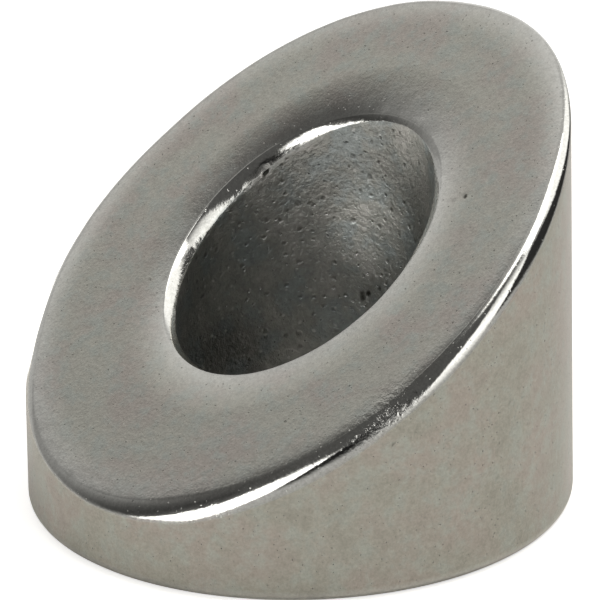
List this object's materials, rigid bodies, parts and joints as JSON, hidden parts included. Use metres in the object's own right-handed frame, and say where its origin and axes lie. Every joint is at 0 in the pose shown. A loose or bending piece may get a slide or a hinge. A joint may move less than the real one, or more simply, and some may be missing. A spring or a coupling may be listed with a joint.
{
  "type": "bevelled washer",
  "caption": "Round steel wedge washer with a flat base, a slanted upper face, a plain through bore square to the base and rounded edges.",
  "frame": {"origin": "centre of the flat base; the bore's axis stands 0.2 mm from it towards the tall side", "axes": "+Z along the bore away from the base, +X towards the tall side"},
  "size_m": [0.0136, 0.0134, 0.0111],
  "materials": {
    "steel": "satin tumbled stainless steel with fine dark pits and brighter rounded edges"
  },
  "bodies": {
    "root": {"washer_body": "steel"}
  },
  "joints": []
}
